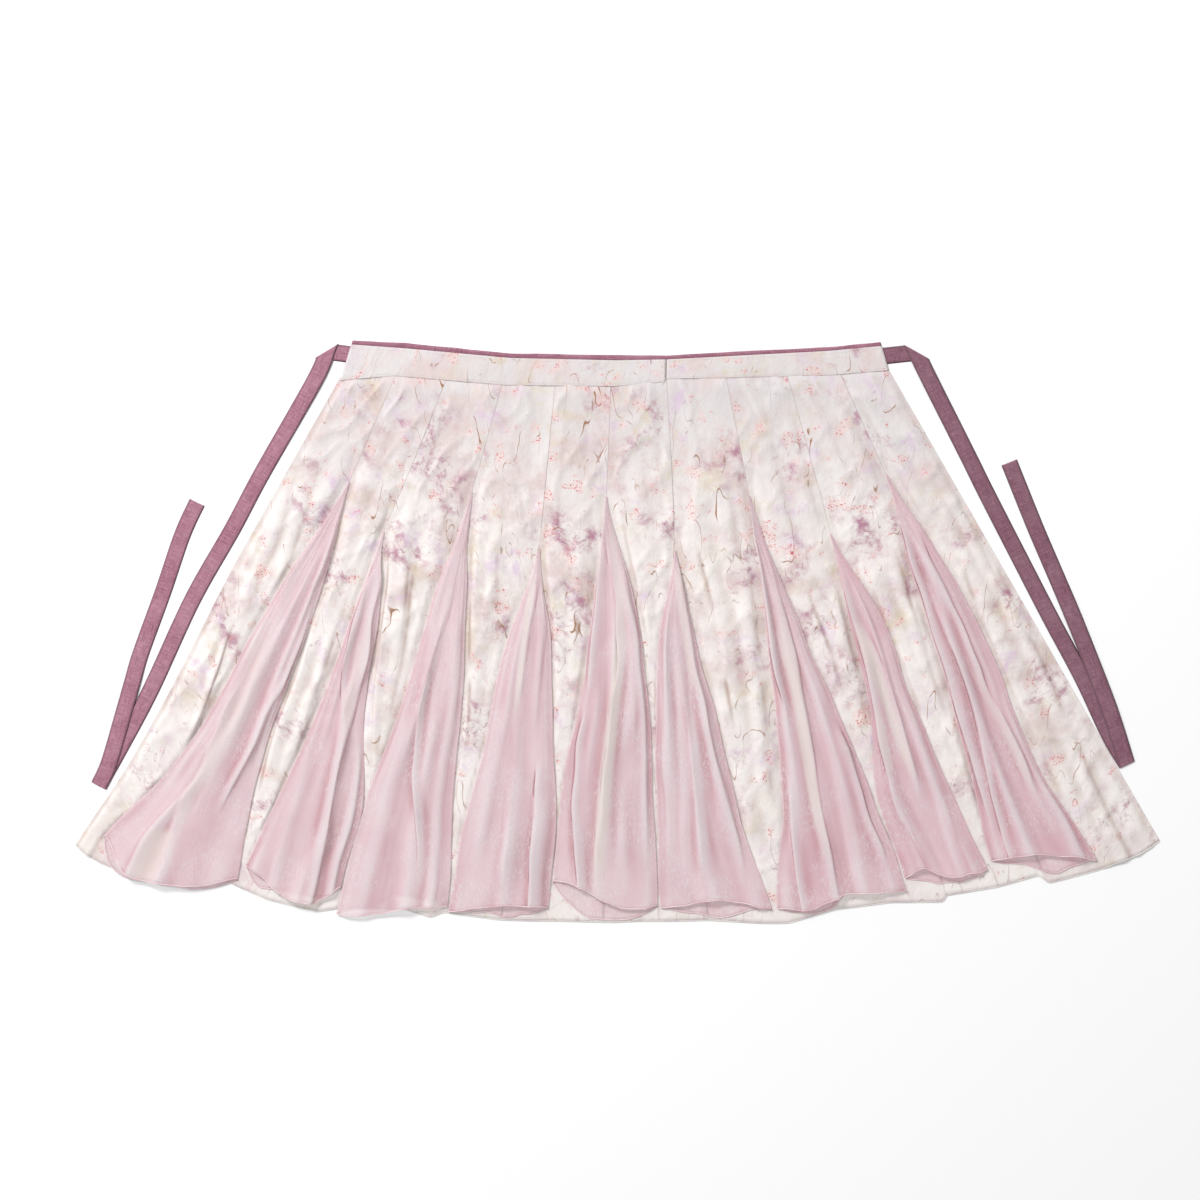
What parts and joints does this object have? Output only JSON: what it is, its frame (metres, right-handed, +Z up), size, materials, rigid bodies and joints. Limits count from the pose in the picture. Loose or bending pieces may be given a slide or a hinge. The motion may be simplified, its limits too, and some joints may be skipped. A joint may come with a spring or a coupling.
{
  "type": "hanfu skirt",
  "caption": "Long wrap skirt laid open and flat: printed panels flaring from a narrow waistband, sheer pink gussets folded over them, and narrow ties folded at its sides.",
  "frame": {"origin": "centre of the laid-out skirt's box, on the surface that it rests on", "axes": "+X across the skirt from the left tie to the right tie, +Y from the hem towards the waistband, +Z up from the surface"},
  "size_m": [1.844, 0.991, 0.0155],
  "materials": {
    "printed_cloth": "matt, with a soft ink-wash print",
    "chiffon": "sheer, with a soft sheen",
    "linen": "matt slubbed weave"
  },
  "bodies": {
    "root": {"gore_1": "printed_cloth", "gore_2": "printed_cloth", "gore_3": "printed_cloth", "gore_4": "printed_cloth", "gore_5": "printed_cloth", "gore_6": "printed_cloth", "gore_7": "printed_cloth", "gore_8": "printed_cloth", "gore_9": "printed_cloth", "gore_10": "printed_cloth", "godet_1": "chiffon", "godet_2": "chiffon", "godet_3": "chiffon", "godet_4": "chiffon", "godet_5": "chiffon", "godet_6": "chiffon", "godet_7": "chiffon", "godet_8": "chiffon", "godet_9": "chiffon", "waistband_left": "printed_cloth", "waistband_right": "printed_cloth", "waistband_facing": "linen", "tie_left": "linen", "tie_right": "linen"}
  },
  "joints": []
}
